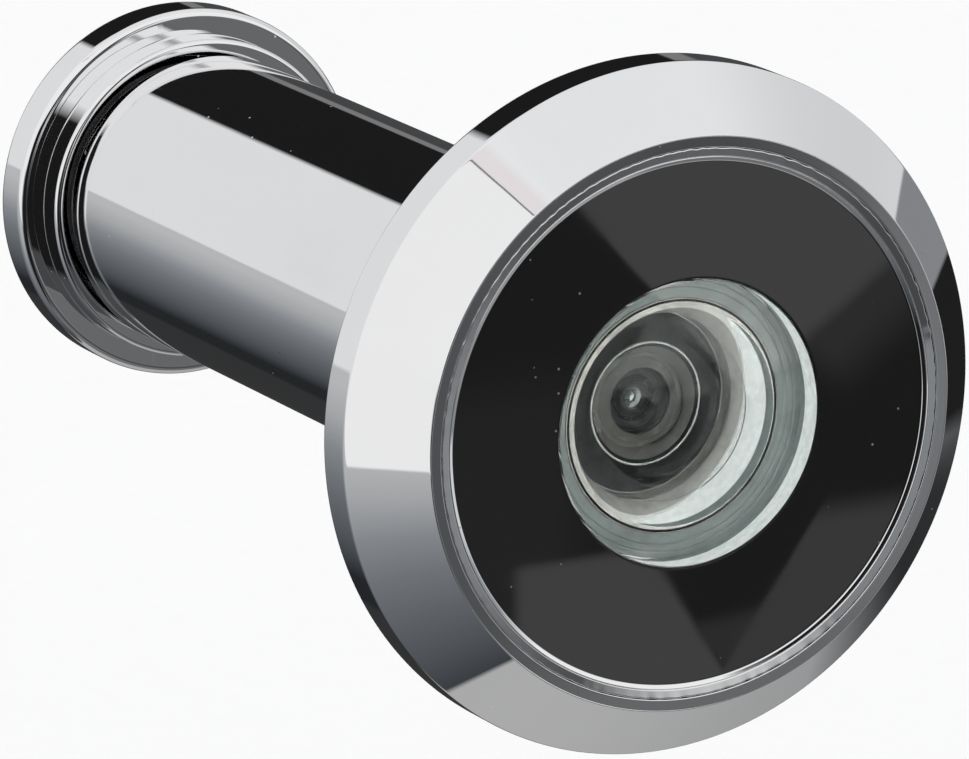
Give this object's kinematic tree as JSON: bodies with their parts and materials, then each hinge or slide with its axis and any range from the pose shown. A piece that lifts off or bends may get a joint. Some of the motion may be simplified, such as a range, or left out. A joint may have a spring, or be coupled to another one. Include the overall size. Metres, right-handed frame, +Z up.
{
  "type": "door viewer",
  "caption": "Wide-angle door viewer: bevelled round chrome front flange with a black window plate and lens, a plain chrome barrel, and a small rear eyepiece flange that screws in.",
  "frame": {"origin": "on the viewer's axis, at the back of the front flange where it seats on the outside of the door", "axes": "+Y along the viewer's axis from the street side to the room side, +Z up"},
  "size_m": [0.0306, 0.0507, 0.0306],
  "materials": {
    "chrome": "bright chrome plate on brass, polished, with fine handling marks",
    "cell_metal": "turned aluminium, satin",
    "thread_metal": "plated brass screw thread, lightly oiled",
    "black_plate": "high-gloss black, a few dust specks",
    "lens_glass": "clear optical glass, faintly green at the edge",
    "black_anodised": "matt black stops, spacers and baffle",
    "black_rubber": "soft black rubber"
  },
  "bodies": {
    "outer_unit": {"front_flange": "chrome", "barrel": "chrome", "mask_plate": "black_plate", "front_retaining_ring": "chrome", "cushion_ring": "black_rubber", "objective_cell": "cell_metal", "front_lens": "lens_glass", "front_spacer": "cell_metal", "middle_lens": "lens_glass", "stop_washer": "black_anodised", "rear_lens": "lens_glass", "rear_spacer": "black_anodised", "objective_lock_ring": "cell_metal"},
    "eyepiece_optics": {"eye_lens": "lens_glass", "eye_seal": "black_rubber", "glare_baffle": "black_anodised"},
    "eyepiece": {"eyepiece_tube": "thread_metal", "neck_seal": "black_rubber", "rear_flange": "chrome", "eye_retaining_ring": "black_anodised"}
  },
  "joints": [
    {"name": "screw_travel", "type": "slide", "parent": "outer_unit", "child": "eyepiece_optics", "axis": [0, 1, 0], "range_m": [0, 0.02]},
    {"name": "screw_turn", "type": "hinge", "parent": "eyepiece_optics", "child": "eyepiece", "pos_m": [0, 0.0437, 0], "axis": [0, 1, 0], "range_deg": [0, 7200]}
  ],
  "couplings": [
    {"joint": "screw_travel", "follows": "screw_turn", "m_per_rad": 0.00015915}
  ]
}
